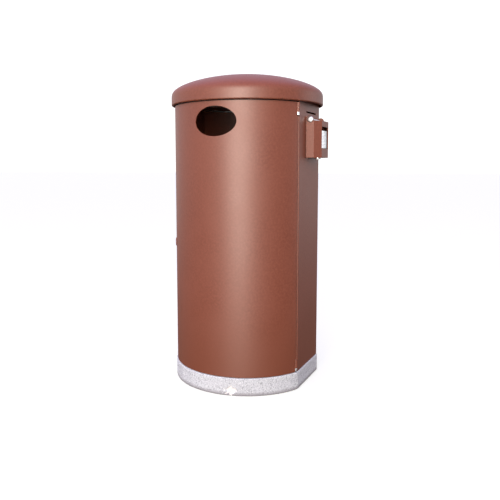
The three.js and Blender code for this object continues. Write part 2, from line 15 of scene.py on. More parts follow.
import bmesh
import bpy
import numpy as np
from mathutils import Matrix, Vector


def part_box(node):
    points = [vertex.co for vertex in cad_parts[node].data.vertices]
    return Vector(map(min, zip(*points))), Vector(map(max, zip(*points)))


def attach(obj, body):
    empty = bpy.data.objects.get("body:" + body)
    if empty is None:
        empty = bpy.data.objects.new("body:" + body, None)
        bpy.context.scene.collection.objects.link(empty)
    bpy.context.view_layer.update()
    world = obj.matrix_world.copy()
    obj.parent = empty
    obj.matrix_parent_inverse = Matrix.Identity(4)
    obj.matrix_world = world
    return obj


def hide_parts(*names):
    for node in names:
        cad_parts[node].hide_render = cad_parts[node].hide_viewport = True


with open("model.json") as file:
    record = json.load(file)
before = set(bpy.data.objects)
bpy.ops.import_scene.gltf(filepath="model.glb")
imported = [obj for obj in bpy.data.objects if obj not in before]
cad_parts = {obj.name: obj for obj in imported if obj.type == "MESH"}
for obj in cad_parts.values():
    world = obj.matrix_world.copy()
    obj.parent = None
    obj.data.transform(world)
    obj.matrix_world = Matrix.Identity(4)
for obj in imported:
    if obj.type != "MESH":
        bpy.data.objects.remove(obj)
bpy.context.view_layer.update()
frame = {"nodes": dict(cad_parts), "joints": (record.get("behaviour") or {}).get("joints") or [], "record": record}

MM = 0.001
record = frame["record"]
BODY = {n: body for body, nodes in record["behaviour"]["bodies"].items() for n in nodes}
SLOT = {part["node"]: part["material_slot"] for part in record["subparts"]}

# %% [markdown]
# ## Camera
#
# The bin is seen from in front and a little to its right, from about two metres, with the eye
# just below the ash box. The picture is cropped off the lens's axis, so the camera tips down a
# few degrees and its picture is shifted to match.

# %% Camera
VIEW_AZIMUTH = math.radians(24.41)  # from the door's middle towards the ash box
VIEW_DISTANCE = 1.902
EYE_HEIGHT = 0.675
camera_data = bpy.data.cameras.new("camera")
camera_data.sensor_width = 36.0
camera_data.lens = 42.21
camera_data.shift_x, camera_data.shift_y = 0.0053, -0.0477
camera = bpy.data.objects.new("camera", camera_data)
camera.location = (
    VIEW_DISTANCE * math.sin(VIEW_AZIMUTH),
    -VIEW_DISTANCE * math.cos(VIEW_AZIMUTH),
    EYE_HEIGHT,
)
camera.rotation_euler = (math.radians(84.2), 0.0, VIEW_AZIMUTH)
bpy.context.scene.collection.objects.link(camera)
bpy.context.scene.camera = camera
print("camera at", [round(v, 3) for v in camera.location])

# %% [markdown]
# ## Finishes
#
# Six finishes cover the bin. Every one is built from nodes that read Object coordinates, so
# the pattern has a real size in metres and stays on the steel when the door swings. A few
# helpers add nodes, turn a hex colour into linear values, and blend colours by a pattern.

# %% Node helper and colours
def linear(hex_colour):
    """sRGB hex to linear RGBA: c/12.92 below 0.04045, else ((c + 0.055)/1.055) to the 2.4."""
    c = np.array([int(hex_colour[i:i + 2], 16) for i in (1, 3, 5)]) / 255
    return (*np.where(c < 0.04045, c / 12.92, ((c + 0.055) / 1.055) ** 2.4), 1.0)


def add(tree, kind, sockets=None, **settings):
    """Adds a node of a kind; sockets maps an input to a value or to another node's output."""
    made = tree.nodes.new("ShaderNode" + kind)
    for name, value in settings.items():
        setattr(made, name, value)
    for key, value in (sockets or {}).items():
        if isinstance(value, bpy.types.NodeSocket):
            tree.links.new(value, made.inputs[key])
        else:
            made.inputs[key].default_value = value
    return made


def start_material(name):
    """A material with only its output, and the Object coordinates of the surface."""
    material = bpy.data.materials.new(name)
    material.use_nodes = True
    tree = material.node_tree
    tree.nodes.clear()
    where = add(tree, "TexCoord").outputs["Object"]
    return material, tree, where


def finish_material(material, tree, sockets):
    """Gives the material a Principled shader with those sockets, and returns it."""
    surface = add(tree, "BsdfPrincipled", sockets)
    add(tree, "OutputMaterial", {"Surface": surface.outputs["BSDF"]})
    return material


def speckle(tree, where, size, detail=2.0, stretch=(1.0, 1.0, 1.0)):
    """Cloudy noise with features of about that size in metres."""
    space = add(tree, "Mapping", {"Vector": where, "Scale": stretch})
    settings = {"Vector": space.outputs["Vector"], "Scale": 0.5 / size, "Detail": detail}
    return add(tree, "TexNoise", settings).outputs["Fac"]


def component(tree, vector, axis):
    """The X, Y or Z of a vector or colour."""
    return add(tree, "SeparateXYZ", {"Vector": vector}).outputs[axis]


def value_range(tree, fac, low, high, start, end):
    """Maps fac from low..high onto start..end."""
    reach = {"Value": fac, "From Min": low, "From Max": high, "To Min": start, "To Max": end}
    return add(tree, "MapRange", reach, clamp=True).outputs["Result"]


def between(tree, fac, low, high, first, second):
    """Blends two colours, each a hex or a node's output, as fac goes from low to high."""
    blend = add(tree, "Mix", data_type="RGBA")
    tree.links.new(value_range(tree, fac, low, high, 0.0, 1.0), blend.inputs[0])
    for socket, colour in ((6, first), (7, second)):  # the colour inputs A and B
        if isinstance(colour, bpy.types.NodeSocket):
            tree.links.new(colour, blend.inputs[socket])
        else:
            blend.inputs[socket].default_value = linear(colour)
    return blend.outputs[2]


def bumps(tree, *layers):
    """Stacks height patterns, each given as (height, distance in metres), into one normal."""
    normal = None
    for height, distance in layers:
        sockets = {"Height": height, "Distance": distance, "Strength": 1.0}
        if normal is not None:
            sockets["Normal"] = normal
        normal = add(tree, "Bump", sockets).outputs["Normal"]
    return normal


# %% [markdown]
# ### Powder coat on the steel shell
#
# The shell is sprayed with polyester powder and baked. That gives a satin film with a faint
# orange peel, and the colour stays almost even. Low down on the shell the colour is painted a
# little darker and more orange, as painted shade. A dielectric shader with a middling
# roughness gives the broad soft highlight. The peel of the real film repeats every 2 mm, which
# is finer than the render can show, so it is drawn at 5 mm, with a second, slower ripple for
# the rolled sheet.

# %% Powder coat
def powder_coat():
    """Satin paint: clouded and speckled brown, painted shade low down, two scales of ripple."""
    material, tree, where = start_material("polyester_powder_coat_satin")
    height = component(tree, where, "Z")
    cloud = speckle(tree, where, 60 * MM, detail=3.0)
    body = between(tree, cloud, 0.3, 0.7, "#7d3f29", "#84452f")
    film = speckle(tree, where, 3 * MM, detail=1.0)
    body = between(tree, film, 0.35, 0.75, body, "#8a4a34")
    # painted shade: below 0.30 m the colour goes darker and more orange towards the bottom
    painted_low_shade = between(tree, height, 0.30, 0.045, body, "#7c4028")
    shine = value_range(tree, cloud, 0.3, 0.7, 0.48, 0.54)
    peel = speckle(tree, where, 5 * MM, detail=0.0)
    ripple = speckle(tree, where, 90 * MM, detail=0.0)
    return finish_material(material, tree, {
        "Base Color": painted_low_shade,
        "Roughness": shine,
        "IOR": 1.5,
        "Normal": bumps(tree, (ripple, 0.5 * MM), (peel, 0.035 * MM)),
        "Coat Weight": 0.12,
        "Coat Roughness": 0.4,
    })


# %% [markdown]
# ### Cast concrete
#
# The slab is wet-cast in a smooth mould. Its skin is pale and chalky, with dark and light
# grains of aggregate of 2 to 3 mm and pinholes from trapped air. Its foot is painted darker
# where it meets the ground, as painted shade.
# The piece carries a "broken" value where its edge has chipped, and there the fresh, paler
# inside shows.

# %% Concrete
def cast_concrete():
    """Pale skin with grains from Voronoi cells, sand, painted shade at the foot and the broken inside."""
    material, tree, where = start_material("cast_concrete_fair_faced")
    cloud = speckle(tree, where, 45 * MM, detail=4.0)
    skin = between(tree, cloud, 0.35, 0.7, "#e7e9ea", "#dadcdd")
    grain = add(tree, "TexVoronoi", {"Vector": where, "Scale": 1 / (2.6 * MM)})
    shade = component(tree, grain.outputs["Color"], "X")
    skin = between(tree, shade, 0.80, 0.92, skin, "#aeb0b2")
    skin = between(tree, shade, 0.20, 0.10, skin, "#f4f5f5")
    sand = speckle(tree, where, 1.4 * MM, detail=2.0)
    skin = between(tree, sand, 0.42, 0.72, skin, "#c3c5c6")
    height = component(tree, where, "Z")
    # painted shade: the lowest 14 mm of the slab goes darker where it meets the ground
    skin = between(tree, height, 0.014, 0.0, skin, "#8e888a")
    broken = add(tree, "Attribute", attribute_name="broken").outputs["Fac"]
    skin = between(tree, broken, 0.25, 0.7, skin, "#f7f4ef")
    pits = value_range(tree, grain.outputs["Distance"], 0.0, 0.45, 0.0, 1.0)
    return finish_material(material, tree, {
        "Base Color": skin,
        "Roughness": 0.92,
        "Specular IOR Level": 0.25,
        "Normal": bumps(tree, (cloud, 1.2 * MM), (pits, 0.35 * MM), (sand, 0.3 * MM)),
    })


# %% [markdown]
# ### Brushed stainless steel
#
# The stub plate, the pins and the locks are stainless, brushed with a fine belt. The belt
# leaves scratches in one direction, so the noise is stretched 30 times along them. The real
# scratches are 0.1 mm apart and are drawn at 0.6 mm.

# %% Stainless
def brushed_stainless():
    """Noise stretched 30 times along Y drives tone, roughness and a faint bump."""
    material, tree, where = start_material("stainless_steel_brushed")
    scratch = speckle(tree, where, 0.6 * MM, detail=3.0, stretch=(1.0, 0.033, 1.0))
    blotch = speckle(tree, where, 14 * MM, detail=3.0)
    tone = between(tree, scratch, 0.3, 0.7, "#bfc2c8", "#e9ebee")
    tone = between(tree, blotch, 0.50, 0.80, tone, "#b3b4b8")
    return finish_material(material, tree, {
        "Base Color": tone,
        "Metallic": 1.0,
        "Roughness": value_range(tree, scratch, 0.3, 0.7, 0.30, 0.44),
        "Normal": bumps(tree, (scratch, 0.02 * MM)),
    })


# %% [markdown]
# ### Zinc plate and hot-dip galvanising
#
# Fasteners are electroplated: thin, bright and slightly yellow-blue in patches. The liner and
# the frames are dipped in molten zinc, which freezes in flat crystals. Each crystal, the
# spangle, is about 9 mm across and has its own brightness, which a Voronoi cell gives.

# %% Zinc finishes
def zinc_plate():
    """Patchy bright plate with a fine grit."""
    material, tree, where = start_material("zinc_electroplate_bright")
    patch = speckle(tree, where, 7 * MM, detail=2.0)
    tone = between(tree, patch, 0.3, 0.7, "#c2c7cf", "#cfcaba")
    grit = speckle(tree, where, 1.0 * MM, detail=2.0)
    return finish_material(material, tree, {
        "Base Color": tone,
        "Metallic": 1.0,
        "Roughness": value_range(tree, patch, 0.3, 0.7, 0.26, 0.42),
        "Normal": bumps(tree, (grit, 0.03 * MM)),
    })


def hot_dip_galvanising():
    """One random brightness and roughness for each Voronoi crystal."""
    material, tree, where = start_material("hot_dip_galvanised_spangle")
    warp = speckle(tree, where, 10 * MM, detail=2.0)
    cell = add(tree, "TexVoronoi", {"Vector": where, "Scale": 1 / (9 * MM)})
    crystal = component(tree, cell.outputs["Color"], "X")
    tone = between(tree, crystal, 0.0, 1.0, "#8f9499", "#bcc0c3")
    tone = between(tree, warp, 0.45, 0.8, tone, "#a0a2a1")
    return finish_material(material, tree, {
        "Base Color": tone,
        "Metallic": 0.9,
        "Roughness": value_range(tree, crystal, 0.0, 1.0, 0.34, 0.58),
        "Normal": bumps(tree, (crystal, 0.03 * MM), (warp, 0.1 * MM)),
    })


# %% [markdown]
# ### Moulded rubber
#
# The door's stops are black nitrile rubber. Rubber is rough, nearly black and slightly grey
# where it is dusty, with a fine grain from the mould.

# %% Rubber and the set of finishes
def moulded_rubber():
    """Near-black base with grey dust and the grain of the mould."""
    material, tree, where = start_material("nitrile_rubber_moulded")
    dust = speckle(tree, where, 5 * MM, detail=3.0)
    grain = speckle(tree, where, 0.8 * MM, detail=1.0)
    return finish_material(material, tree, {
        "Base Color": between(tree, dust, 0.4, 0.8, "#1b1b1d", "#343231"),
        "Roughness": 0.78,
        "Normal": bumps(tree, (grain, 0.06 * MM)),
    })


FINISH = {
    "painted_steel": powder_coat(),
    "concrete": cast_concrete(),
    "stainless_steel": brushed_stainless(),
    "zinc_plated_steel": zinc_plate(),
    "galvanised_steel": hot_dip_galvanising(),
    "black_rubber": moulded_rubber(),
}
for name, node in frame["nodes"].items():
    node.data.materials.clear()
    node.data.materials.append(FINISH[SLOT[name]])
print("finishes:", ", ".join(m.name for m in FINISH.values()))

# %% [markdown]
# ## From arrays to pieces
#
# A piece is a grid of points worked out at once with numpy, and a list of the quads between
# them. Three helpers do the rest: one numbers the quads, one turns a closed surface the right
# way out by the sign of its volume, and one makes the Blender object, eases its edges and
# lets it ride on the body of the node that it stands for.

# %% Mesh helpers
def grid_faces(rows, columns, wrap=False):
    """Quads of a grid numbered row by row; wrap joins the last column to the first."""
    across = columns if wrap else columns - 1
    r, c = np.meshgrid(np.arange(rows - 1), np.arange(across), indexing="ij")
    first, second = r * columns + c, r * columns + (c + 1) % columns
    return np.stack([first, second, second + columns, first + columns], -1).reshape(-1, 4)


def outward(points, faces):
    """Turns the quads round if the volume, the sum of a.(b x c)/6 over triangles, is negative."""
    a, b, c, d = (points[faces[:, i]] for i in range(4))
    volume = (np.cross(b, c) * a).sum() + (np.cross(c, d) * a).sum()
    return points, faces if volume > 0 else faces[:, ::-1]


def joined(*parts):
    """Several (points, faces) surfaces as one."""
    offsets = np.cumsum([0] + [len(points) for points, _ in parts[:-1]])
    points = np.concatenate([points for points, _ in parts])
    return points, np.concatenate([faces + k for (_, faces), k in zip(parts, offsets)])


def evaluated(piece):
    """Puts the result of the piece's modifiers into its mesh."""
    graph = bpy.context.evaluated_depsgraph_get()
    mesh = bpy.data.meshes.new_from_object(piece.evaluated_get(graph))
    piece.modifiers.clear()
    piece.data = mesh
    return piece


def install(name, mesh, nodes, wall=0.0, ease=0.0, sharp=35.0):
    """Makes the object of a mesh for its nodes: merges doubles, gives a sheet its wall,
    rounds edges by ease, shades by angle, and hands it to the frame."""
    work = bmesh.new()
    work.from_mesh(mesh)
    bmesh.ops.remove_doubles(work, verts=work.verts, dist=1e-6)
    work.to_mesh(mesh)
    work.free()
    mesh.polygons.foreach_set("use_smooth", np.ones(len(mesh.polygons), bool))
    piece = bpy.data.objects.new(name, mesh)
    bpy.context.scene.collection.objects.link(piece)
    if wall:
        sheet = piece.modifiers.new("wall", "SOLIDIFY")
        sheet.thickness, sheet.offset, sheet.use_even_offset = wall, -1.0, True
    if ease:
        edge = piece.modifiers.new("ease", "BEVEL")
        edge.width, edge.segments, edge.limit_method = ease, 2, "ANGLE"
        edge.angle_limit = math.radians(sharp)
    if wall or ease:
        evaluated(piece)
    piece.data.set_sharp_from_angle(angle=math.radians(46 if ease else sharp))
    piece.modifiers.new("even_shading", "WEIGHTED_NORMAL").keep_sharp = True
    piece.data.materials.clear()
    piece.data.materials.append(FINISH[SLOT[nodes[0]]])
    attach(piece, BODY[nodes[0]])
    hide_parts(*nodes)
    return piece


def from_arrays(name, surface, *nodes, **how):
    """A piece from (points, faces); how holds wall, ease and sharp."""
    mesh = bpy.data.meshes.new(name)
    mesh.from_pydata(surface[0].tolist(), [], surface[1].tolist())
    return install(name, mesh, nodes, **how)


def from_node(name, node, ease, sharp=35.0):
    """A copy of a node, its flat facets made whole and its edges rounded by ease."""
    work = bmesh.new()
    work.from_mesh(frame["nodes"][node].data)
    bmesh.ops.remove_doubles(work, verts=work.verts, dist=2e-6)
    flat = {"angle_limit": math.radians(1), "verts": work.verts, "edges": work.edges}
    bmesh.ops.dissolve_limit(work, **flat)
    mesh = bpy.data.meshes.new(name)
    work.to_mesh(mesh)
    work.free()
    return install(name, mesh, [node], ease=ease, sharp=sharp)


def smooth_noise(points, cell, seed):
    """Value noise from -1 to 1: random heights on a cubic lattice, blended by a smoothstep."""
    size = 64
    lattice = np.random.default_rng(seed).random((size, size, size))
    whole = np.floor(points / cell).astype(int)
    part = points / cell - whole
    part = part * part * (3 - 2 * part)
    total = np.zeros(len(points))
    for corner in np.ndindex(2, 2, 2):
        weight = np.prod(np.where(corner, part, 1 - part), axis=1)
        total += weight * lattice[tuple(((whole + corner) % size).T)]
    return 2 * total - 1


print("helpers ready")

# %% [markdown]
# ### Turned parts
#
# Bolts, washers, pins, locks and the lid are turned about an axis. A profile is a list of
# rings, each a radius, a height and the number of its sides: 0 is round, 6 is a hexagon that
# the radius touches on its flats. One formula for the radius at an angle covers both, so a
# hexagon head flows into its round shank on the same grid.

# %% Turned surfaces
def turned(profile, origin=(0.0, 0.0, 0.0), axis=(0.0, 0.0, 1.0), segments=48, closed=False):
    """Rings about an axis. Round: r. With n sides: r / cos((angle mod 2 pi/n) - pi/n)."""
    rings = np.array([(*ring, 0)[:3] for ring in profile], float)
    if closed:
        rings = np.vstack([rings, rings[:1]])
    angle = np.linspace(0, 2 * np.pi, segments, endpoint=False)
    sides = np.where(rings[:, 2] > 0, rings[:, 2], 1)[:, None]
    corner = np.cos(angle % (2 * np.pi / sides) - np.pi / sides)
    radius = rings[:, 0, None] / np.where(rings[:, 2, None] > 0, corner, 1)
    height = np.broadcast_to(rings[:, 1, None], radius.shape)
    along = np.array(axis, float) / np.linalg.norm(axis)
    helper = (0.0, 0.0, 1.0) if abs(along[2]) < 0.9 else (1.0, 0.0, 0.0)
    side = np.cross(helper, along)
    side /= np.linalg.norm(side)
    other = np.cross(along, side)
    points = (
        np.array(origin)
        + (radius * np.cos(angle))[..., None] * side
        + (radius * np.sin(angle))[..., None] * other
        + height[..., None] * along
    )
    return outward(points.reshape(-1, 3), grid_faces(len(rings), segments, wrap=True))


def rounded_ring(inner, outer, low, high, ease):
    """Closed profile of a washer or a barrel, with its four edges cut by ease."""
    return [
        (inner, low + ease), (inner + ease, low), (outer - ease, low), (outer, low + ease),
        (outer, high - ease), (outer - ease, high), (inner + ease, high), (inner, high - ease),
    ]


def hex_bolt(flat, head_low, head_high, shank, tip):
    """Profile of a hexagon bolt: chamfered crown, hexagon flats, washer face, round shank."""
    cut = 0.9 * MM
    return [
        (0, head_high), (flat - cut, head_high), (flat, head_high - cut, 6),
        (flat, head_low + 0.4 * MM, 6), (flat - cut, head_low), (shank, head_low),
        (shank, tip + cut), (shank - cut, tip), (0, tip),
    ]


def socket_head(radius, head_low, head_high, key, shank, tip, sides=6, depth=2 * MM):
    """Profile of a round head with a key socket of that many sides, on a round shank."""
    cut = 0.5 * MM
    floor = head_high - depth
    return [
        (0, floor), (key, floor, sides), (key, head_high - 0.2 * MM, sides),
        (key + 0.2 * MM, head_high, sides), (radius - cut, head_high), (radius, head_high - cut),
        (radius, head_low + 0.2 * MM), (radius - 0.2 * MM, head_low), (shank, head_low),
        (shank, tip + cut), (shank - cut, tip), (0, tip),
    ]


def centre(node):
    """Middle of a node's box, as an array."""
    low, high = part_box(node)
    return (np.array(low) + np.array(high)) / 2


def spread(node):
    """Size of a node's box, as an array."""
    low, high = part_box(node)
    return np.array(high) - np.array(low)


def heights(node):
    """Lowest and highest z of a node."""
    return tuple(corner.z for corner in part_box(node))


print("turned parts ready")

# %% [markdown]
# ## The lid
#
# The real lid is spun from one disc: a shallow crown, a tight shoulder, a short skirt and a rim
# curled inward so that nobody is cut. A body of revolution is the natural way. The shoulder is
# a superellipse, which is flatter than a circle at both ends, as spun metal is.

# %% Lid
lid_low, lid_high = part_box("lid_dome")
LID_R, LID_RIM, LID_CROWN = lid_high.x, lid_low.z, lid_high.z
LID_RISE, LID_EDGE, LID_POWER = 42 * MM, 43 * MM, 5.6
LID_WALL, LID_CURL, LID_TURN_IN = 2 * MM, 4 * MM, 6.5 * MM


def lid_height(share):
    """Crown height less rise * u^2 less edge * (1 - (1 - u^p)^(1/p)), u the share of the radius."""
    edge = 1 - (1 - share**LID_POWER) ** (1 / LID_POWER)
    return LID_CROWN - LID_RISE * share**2 - LID_EDGE * edge


def lid_profile():
    """Underside from the axis out, the curled rim, and the outer face back to the axis."""
    share = np.sin(np.linspace(0, np.pi / 2, 60))
    share[-1] = 1.0
    outer = np.stack([LID_R * share, lid_height(share)], 1)
    inner = np.stack([(LID_R - LID_WALL) * share, lid_height(share) - LID_WALL], 1)
    turn = np.linspace(0, np.pi / 2, 9)[:, None]
    bend = np.array([LID_R - LID_CURL, LID_RIM + LID_CURL])
    outside = bend + LID_CURL * np.hstack([np.cos(turn), -np.sin(turn)])
    inside = bend + (LID_CURL - LID_WALL) * np.hstack([np.cos(turn), -np.sin(turn)])
    lip_end = LID_R - LID_TURN_IN
    tip = [(lip_end + 0.4 * MM, LID_RIM), (lip_end, LID_RIM + 0.5 * MM)]
    tip += [(lip_end, LID_RIM + 1.5 * MM), (lip_end + 0.4 * MM, LID_RIM + LID_WALL)]
    return [*inner, *inside, *tip[::-1], *outside[::-1], *outer[::-1]]


from_arrays("lid_spun", turned(lid_profile(), segments=256), "lid_dome", sharp=60)
print("lid", round(2 * LID_R, 3), "m across")

# %% [markdown]
# ## The slab
#
# The slab is cast upside down in a mould, so its edges are rounded by a few millimetres and
# the face has pinholes and slight waves. It is a grid that runs round the outline and down a
# rounded profile, and noise moves each point inward. A chip on the front edge shows paler
# inside, and its depth also goes to the material as an attribute.

# %% Slab outline and surface
slab_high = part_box("concrete_slab")[1]
SLAB_FLAT, SLAB_R, SLAB_TOP = slab_high.x, slab_high.y, slab_high.z
CHIP_AZIMUTH, CHIP_HEIGHT = math.radians(12.0), 17 * MM


def slab_outline(count):
    """Points and outward directions at equal steps round a circle cut by two flat sides,
    each point the mean of its neighbours so that the corners are eased."""
    angle = np.linspace(0, 2 * np.pi, 7200, endpoint=False)
    path = SLAB_R * np.stack([np.sin(angle), -np.cos(angle)], 1)
    path[:, 0] = np.clip(path[:, 0], -SLAB_FLAT, SLAB_FLAT)
    blur = 25  # steps of 0.2 mm on each side, so the corner is eased over about 10 mm
    path = sum(np.roll(path, k, axis=0) for k in range(-blur, blur + 1)) / (2 * blur + 1)
    step = np.hypot(*np.diff(path, axis=0, append=path[:1]).T)
    length = np.concatenate([[0], np.cumsum(step)])
    want = np.linspace(0, length[-1], count, endpoint=False)
    ring = np.vstack([path, path[:1]])
    at = np.stack([np.interp(want, length, ring[:, k]) for k in (0, 1)], 1)
    along = np.roll(at, -1, axis=0) - np.roll(at, 1, axis=0)
    out = np.stack([along[:, 1], -along[:, 0]], 1)
    return at, out / np.linalg.norm(out, axis=1, keepdims=True)


def slab_surface(count=1150):
    """The outline swept down a profile of (inward, height), then moved in by noise."""
    at, out = slab_outline(count)
    ease, turn = 3.2 * MM, np.linspace(0, np.pi / 2, 6)
    round_in, round_up = ease * (1 - np.cos(turn)), ease * (1 - np.sin(turn))
    flat_in = np.array([190, 140, 80, 40, 20, 12, 8, 5.5]) * MM
    side = np.linspace(ease, SLAB_TOP - ease, 38)
    inward = np.concatenate([
        flat_in, round_in[::-1], np.zeros(36), round_in, flat_in[::-1]])
    height = np.concatenate([
        np.zeros(8), round_up[::-1], side[1:-1], SLAB_TOP - round_up, np.full(8, SLAB_TOP)])
    plan = at[None] - inward[:, None, None] * out[None]
    points = np.dstack([plan, np.broadcast_to(height[:, None], plan.shape[:2])])
    points = points.reshape(-1, 3)
    way = np.dstack([np.broadcast_to(out, plan.shape), np.zeros(plan.shape[:2])]).reshape(-1, 3)
    wave = smooth_noise(points, 38 * MM, 3) * 0.35 + smooth_noise(points, 9 * MM, 4) * 0.3
    grain = smooth_noise(points, 2.6 * MM, 5) * 0.22
    pinhole = np.maximum(smooth_noise(points, 4.5 * MM, 6) - 0.66, 0) * 6.0
    azimuth = np.arctan2(points[:, 0], -points[:, 1])
    off = np.stack([(azimuth - CHIP_AZIMUTH) * SLAB_R / 15, (points[:, 2] - CHIP_HEIGHT) / 14])
    ragged = 0.6 * smooth_noise(points, 7 * MM, 8) + 0.45 * smooth_noise(points, 3 * MM, 9)
    chip = np.clip(1.0 + ragged - np.hypot(*(off / MM)), 0, 1)
    chip = np.where(points[:, 2] < SLAB_TOP - 8 * MM, chip, 0)
    depth = 0.75 + wave + grain + pinhole + 2.2 * np.minimum(chip * 2, 1) * (chip > 0)
    on_side = np.repeat(np.clip(1 - inward / (12 * MM), 0, 1), count)
    points -= way * (np.maximum(depth, 0) * MM * on_side)[:, None]
    return points, grid_faces(len(inward), count, wrap=True), np.clip(chip * 2.5, 0, 1), count


def slab_piece():
    """Closes the two flats with one face each, and stores how broken each point is."""
    points, faces, broken, count = slab_surface()
    points, faces = outward(points, faces)
    floor, roof = np.arange(count), len(points) - count + np.arange(count)
    mesh = bpy.data.meshes.new("slab_cast")
    caps = [floor[::-1].tolist(), roof.tolist()]
    mesh.from_pydata(points.tolist(), [], [*faces.tolist(), *caps])
    mesh.attributes.new("broken", "FLOAT", "POINT").data.foreach_set("value", broken)
    return install("slab_cast", mesh, ["concrete_slab"], sharp=70)


slab = slab_piece()
print("slab faces:", len(slab.data.polygons))

# %% [markdown]
# ## Folded and rolled sheet
#
# The door and the fixed shell are each one sheet of 2 mm steel, folded at the edges and rolled
# in a curve. In plan that is a path of lines, arcs and small fillets. The outer face is a grid
# along that path and up the height, and a Solidify modifier gives it the sheet's thickness
# inward. Openings are cut with a patch: rings of quads lead from a rectangle of the grid to
# the edge of the hole, so the sheet stays smooth right up to the cut.

# %% Sheet helpers
def line(first, last, count=2):
    """Points at equal steps on a straight line."""
    return np.linspace(first, last, count)


def plan_arc(radius, start, end, step=0.5):
    """Arc about the bin's axis; the angle in degrees runs from -Y towards +X."""
    angle = np.radians(np.linspace(start, end, int(abs(end - start) / step) + 2))
    return radius * np.stack([np.sin(angle), -np.cos(angle)], 1)


def fillet(before, corner, after, radius, steps=7):
    """Arc that touches both legs of a corner, by turning one radius vector into the other."""
    a, b = before - corner, after - corner
    a, b = a / np.linalg.norm(a), b / np.linalg.norm(b)
    half = 0.5 * np.arccos(a @ b)
    middle = corner + (a + b) / np.linalg.norm(a + b) * radius / np.sin(half)
    start, end = (corner + leg * radius / np.tan(half) - middle for leg in (a, b))
    sweep = np.pi - 2 * half
    t = np.linspace(0, 1, steps + 1)[:, None]
    return middle + (np.sin((1 - t) * sweep) * start + np.sin(t * sweep) * end) / np.sin(sweep)


class Sheet:
    """A sheet on a plan path: columns stand on the path, rows are heights."""

    def __init__(self, *parts):
        """Joins the parts into one path without doubled points, and measures along it."""
        path = np.concatenate(parts)
        keep = np.hypot(*np.diff(path, axis=0, prepend=path[:1] - 1).T) > 1e-6
        self.path = path[keep]
        self.along = np.concatenate([[0], np.cumsum(np.hypot(*np.diff(self.path, axis=0).T))])

    def at(self, x, y):
        """Distance along the path of the path point nearest to (x, y)."""
        return self.along[np.argmin(np.hypot(*(self.path - (x, y)).T))]

    def place(self, s, z):
        """Points in space of distances along the path and heights."""
        x, y = (np.interp(s, self.along, self.path[:, k]) for k in (0, 1))
        return np.stack([x, y, z], -1)

    def columns(self, step, *extra):
        """Distances for the grid: one each step, all the bends, and the extra ones."""
        way = np.diff(self.path, axis=0)
        turn = np.abs(np.diff(np.unwrap(np.arctan2(way[:, 1], way[:, 0]))))
        bends = self.along[1:-1][turn > math.radians(3)]
        even = np.arange(0, self.along[-1], step)
        fixed = np.unique(np.round(np.concatenate([bends, extra, self.along[[0, -1]]]), 6))
        gap = np.abs(even[:, None] - fixed[None]).min(axis=1)
        return np.sort(np.concatenate([even[gap > 0.4 * step], fixed]))


def sheet_surface(sheet, columns, rows, gone, holes):
    """Grid on the sheet without the quads in gone, plus a ring patch for each hole."""
    s, z = np.meshgrid(columns, rows)
    points = [sheet.place(s.ravel(), z.ravel())]
    faces = grid_faces(len(rows), len(columns))
    mid_s, mid_z = s.ravel()[faces].mean(axis=1), z.ravel()[faces].mean(axis=1)
    keep = np.ones(len(faces), bool)
    for s0, s1, z0, z1 in [*gone, *(hole["box"] for hole in holes)]:
        keep &= ~((mid_s > s0) & (mid_s < s1) & (mid_z > z0) & (mid_z < z1))
    parts = [(points[0], faces[keep])]
    for hole in holes:
        s0, s1, z0, z1 = hole["box"]
        across = columns[(columns > s0 - 1e-6) & (columns < s1 + 1e-6)]
        up = rows[(rows > z0 - 1e-6) & (rows < z1 + 1e-6)]
        border = np.concatenate([
            np.stack([across[:-1], np.full(len(across) - 1, up[0])], 1),
            np.stack([np.full(len(up) - 1, across[-1]), up[:-1]], 1),
            np.stack([across[:0:-1], np.full(len(across) - 1, up[-1])], 1),
            np.stack([np.full(len(up) - 1, across[0]), up[:0:-1]], 1),
        ])
        edge = hole["edge"](border)
        share = np.linspace(0, 1, hole["rings"])[:, None, None] ** 0.8
        ring = border * (1 - share) + edge * share
        space = sheet.place(ring[..., 0].ravel(), ring[..., 1].ravel())
        parts.append((space, grid_faces(len(share), len(border), wrap=True)))
    return joined(*parts)


print("sheet helpers ready")

# %% [markdown]
# ## The door
#
# The door is rolled to the bin's radius, with a flange folded back along each upright edge.
# An oval mouth is cut near its top, and at the right-hand edge the corners are notched for
# the hinge barrels.

# %% Door skin
door_low, door_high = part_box("door_panel")
DOOR_R, DOOR_HALF = -door_low.y, math.radians(65.2)
DOOR_BOTTOM, DOOR_TOP, FLANGE_Y = door_low.z, door_high.z, door_high.y
FLANGE_END, SHEET_WALL = 192 * MM, 2 * MM
NOTCH = math.radians(63.2)  # the notches for the barrels start at this angle
FOLD_R = 2.8 * MM
CUT_EASE = 0.45 * MM  # rounding of the sheets' cut edges
LEG = 0.02  # any short length of the roll's tangent, for the direction of a fold
FOOT = 60 * MM  # the flanges and lips stop short of the base tray
MOUTH = np.array([66.0, 43.0]) * MM
MOUTH_Z = 804.5 * MM
HINGE_X, HINGE_Y = (centre("hinge_pin_top")[k] for k in (0, 1))
BARREL_R = spread("hinge_pin_top")[0] / 2


